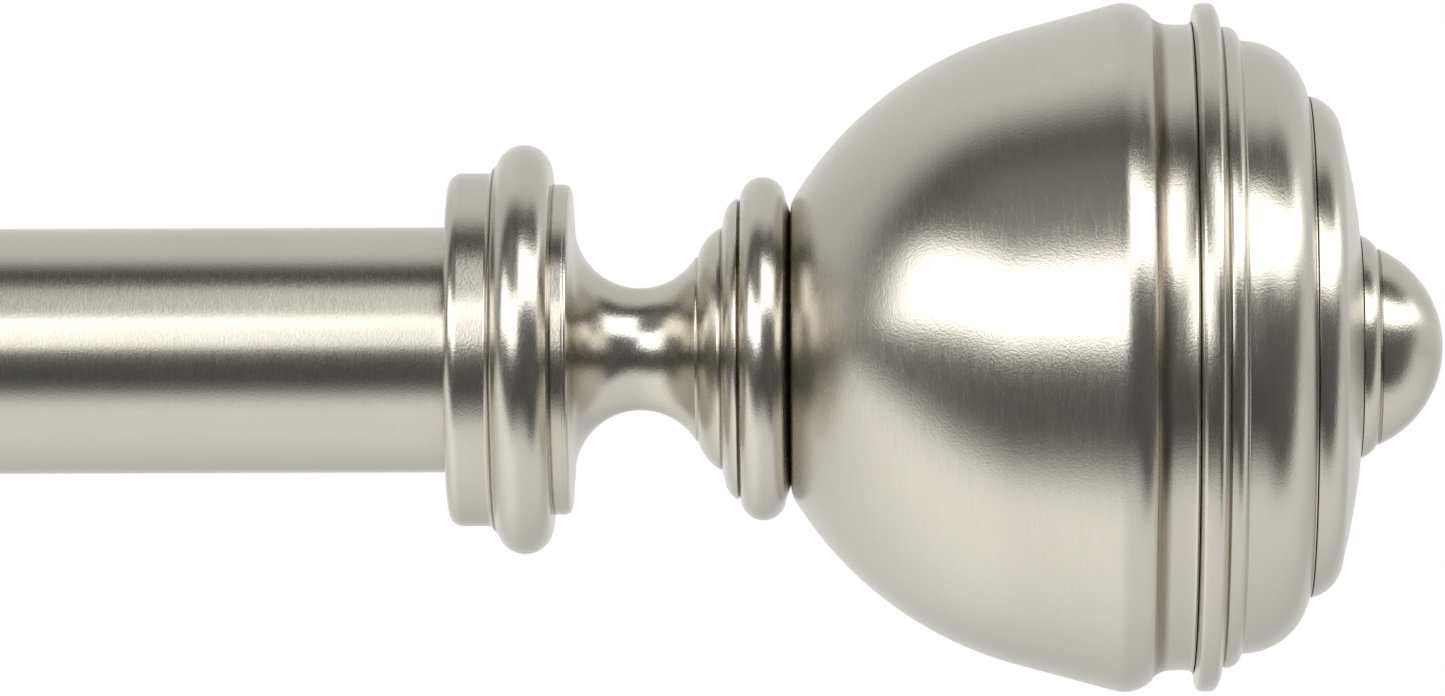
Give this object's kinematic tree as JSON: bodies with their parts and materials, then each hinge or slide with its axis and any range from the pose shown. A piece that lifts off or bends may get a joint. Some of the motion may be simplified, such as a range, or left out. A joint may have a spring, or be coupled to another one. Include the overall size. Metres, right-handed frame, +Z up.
{
  "type": "curtain rod with brackets",
  "caption": "Telescoping satin-nickel curtain rod with turned bell-shaped finials, held in open cradles on adjustable wall brackets.",
  "frame": {"origin": "centre of the right bracket's wall plate, on its back face", "axes": "+X along the rod to its right end, -Y out of the wall into the room, +Z up"},
  "size_m": [0.9166, 0.1546, 0.0712],
  "materials": {
    "rod_nickel": "satin nickel plate, brushed round the tube",
    "finial_nickel": "satin nickel plate, fine turned brushing",
    "bracket_nickel": "satin nickel plate",
    "zinc_steel": "bright zinc plate",
    "black_steel": "black oxide",
    "black_plastic": "moulded, satin",
    "white_nylon": "moulded nylon",
    "grey_plastic": "moulded nylon"
  },
  "bodies": {
    "outer_rod": {"outer_tube": "rod_nickel", "outer_tube_bush": "black_plastic"},
    "inner_rod": {"inner_tube": "rod_nickel", "inner_tube_glide": "black_plastic"},
    "right_wall_bracket": {"right_wall_plate": "bracket_nickel", "right_socket": "bracket_nickel", "right_wall_screw_upper": "zinc_steel", "right_wall_screw_lower": "zinc_steel", "right_wall_plug_upper": "grey_plastic", "right_wall_plug_lower": "grey_plastic"},
    "right_arm": {"right_arm": "bracket_nickel", "right_cradle": "bracket_nickel", "right_cradle_screw": "zinc_steel"},
    "right_projection_screw": {"right_projection_screw": "bracket_nickel"},
    "right_clamp": {"right_clamp_pad": "white_nylon"},
    "right_thumb_screw": {"right_thumb_screw": "bracket_nickel"},
    "right_finial": {"right_finial_base": "finial_nickel", "right_finial_bell": "finial_nickel", "right_finial_dome": "finial_nickel", "right_finial_disc": "finial_nickel", "right_finial_knob": "finial_nickel", "right_finial_stud": "zinc_steel", "right_finial_nut": "zinc_steel"},
    "right_finial_set_screw": {"right_finial_set_screw": "black_steel"},
    "left_wall_bracket": {"left_wall_plate": "bracket_nickel", "left_socket": "bracket_nickel", "left_wall_screw_upper": "zinc_steel", "left_wall_screw_lower": "zinc_steel", "left_wall_plug_upper": "grey_plastic", "left_wall_plug_lower": "grey_plastic"},
    "left_arm": {"left_arm": "bracket_nickel", "left_cradle": "bracket_nickel", "left_cradle_screw": "zinc_steel", "left_cradle_liner": "black_plastic"},
    "left_projection_screw": {"left_projection_screw": "bracket_nickel"},
    "left_clamp": {"left_clamp_pad": "white_nylon"},
    "left_thumb_screw": {"left_thumb_screw": "bracket_nickel"},
    "left_finial": {"left_finial_base": "finial_nickel", "left_finial_bell": "finial_nickel", "left_finial_dome": "finial_nickel", "left_finial_disc": "finial_nickel", "left_finial_knob": "finial_nickel", "left_finial_stud": "zinc_steel", "left_finial_nut": "zinc_steel", "left_finial_reducer": "black_plastic"},
    "left_finial_set_screw": {"left_finial_set_screw": "black_steel"}
  },
  "joints": [
    {"name": "rod_lift", "type": "slide", "parent": "right_arm", "child": "outer_rod", "axis": [0, 0, 1], "range_m": [0, 0.03]},
    {"name": "telescope", "type": "slide", "parent": "outer_rod", "child": "inner_rod", "axis": [-1, 0, 0], "range_m": [0, 0.508]},
    {"name": "left_bracket_place", "type": "slide", "parent": "right_wall_bracket", "child": "left_wall_bracket", "axis": [-1, 0, 0], "range_m": [0, 0.508]},
    {"name": "right_projection", "type": "slide", "parent": "right_wall_bracket", "child": "right_arm", "axis": [0, -1, 0], "range_m": [0, 0.025]},
    {"name": "right_projection_screw_turn", "type": "hinge", "parent": "right_wall_bracket", "child": "right_projection_screw", "pos_m": [0, -0.043, 0], "axis": [0, 0, -1], "range_deg": [0, 630]},
    {"name": "right_clamp_advance", "type": "slide", "parent": "right_arm", "child": "right_clamp", "axis": [0, -1, 0], "range_m": [0, 0.001]},
    {"name": "right_thumb_turn", "type": "hinge", "parent": "right_clamp", "child": "right_thumb_screw", "pos_m": [0, -0.089, 0], "axis": [0, -1, 0], "range_deg": [0, 452]},
    {"name": "right_finial_pull", "type": "slide", "parent": "outer_rod", "child": "right_finial", "axis": [1, 0, 0], "range_m": [0, 0.02]},
    {"name": "right_set_screw_turn", "type": "hinge", "parent": "right_finial", "child": "right_finial_set_screw", "pos_m": [0.09782, -0.089, 0], "axis": [0, 1, 0], "range_deg": [0, 630]},
    {"name": "left_projection", "type": "slide", "parent": "left_wall_bracket", "child": "left_arm", "axis": [0, -1, 0], "range_m": [0, 0.025]},
    {"name": "left_projection_screw_turn", "type": "hinge", "parent": "left_wall_bracket", "child": "left_projection_screw", "pos_m": [-0.531, -0.043, 0], "axis": [0, 0, -1], "range_deg": [0, 630]},
    {"name": "left_clamp_advance", "type": "slide", "parent": "left_arm", "child": "left_clamp", "axis": [0, -1, 0], "range_m": [0, 0.001]},
    {"name": "left_thumb_turn", "type": "hinge", "parent": "left_clamp", "child": "left_thumb_screw", "pos_m": [-0.531, -0.089, 0], "axis": [0, -1, 0], "range_deg": [0, 452]},
    {"name": "left_finial_pull", "type": "slide", "parent": "inner_rod", "child": "left_finial", "axis": [-1, 0, 0], "range_m": [0, 0.02]},
    {"name": "left_set_screw_turn", "type": "hinge", "parent": "left_finial", "child": "left_finial_set_screw", "pos_m": [-0.62882, -0.089, 0], "axis": [0, 1, 0], "range_deg": [0, 630]}
  ],
  "couplings": [
    {"joint": "left_bracket_place", "follows": "telescope", "ratio": 1},
    {"joint": "left_projection", "follows": "right_projection", "ratio": 1},
    {"joint": "right_thumb_turn", "follows": "right_clamp_advance", "rad_per_m": 7854},
    {"joint": "left_thumb_turn", "follows": "left_clamp_advance", "rad_per_m": 7854}
  ]
}
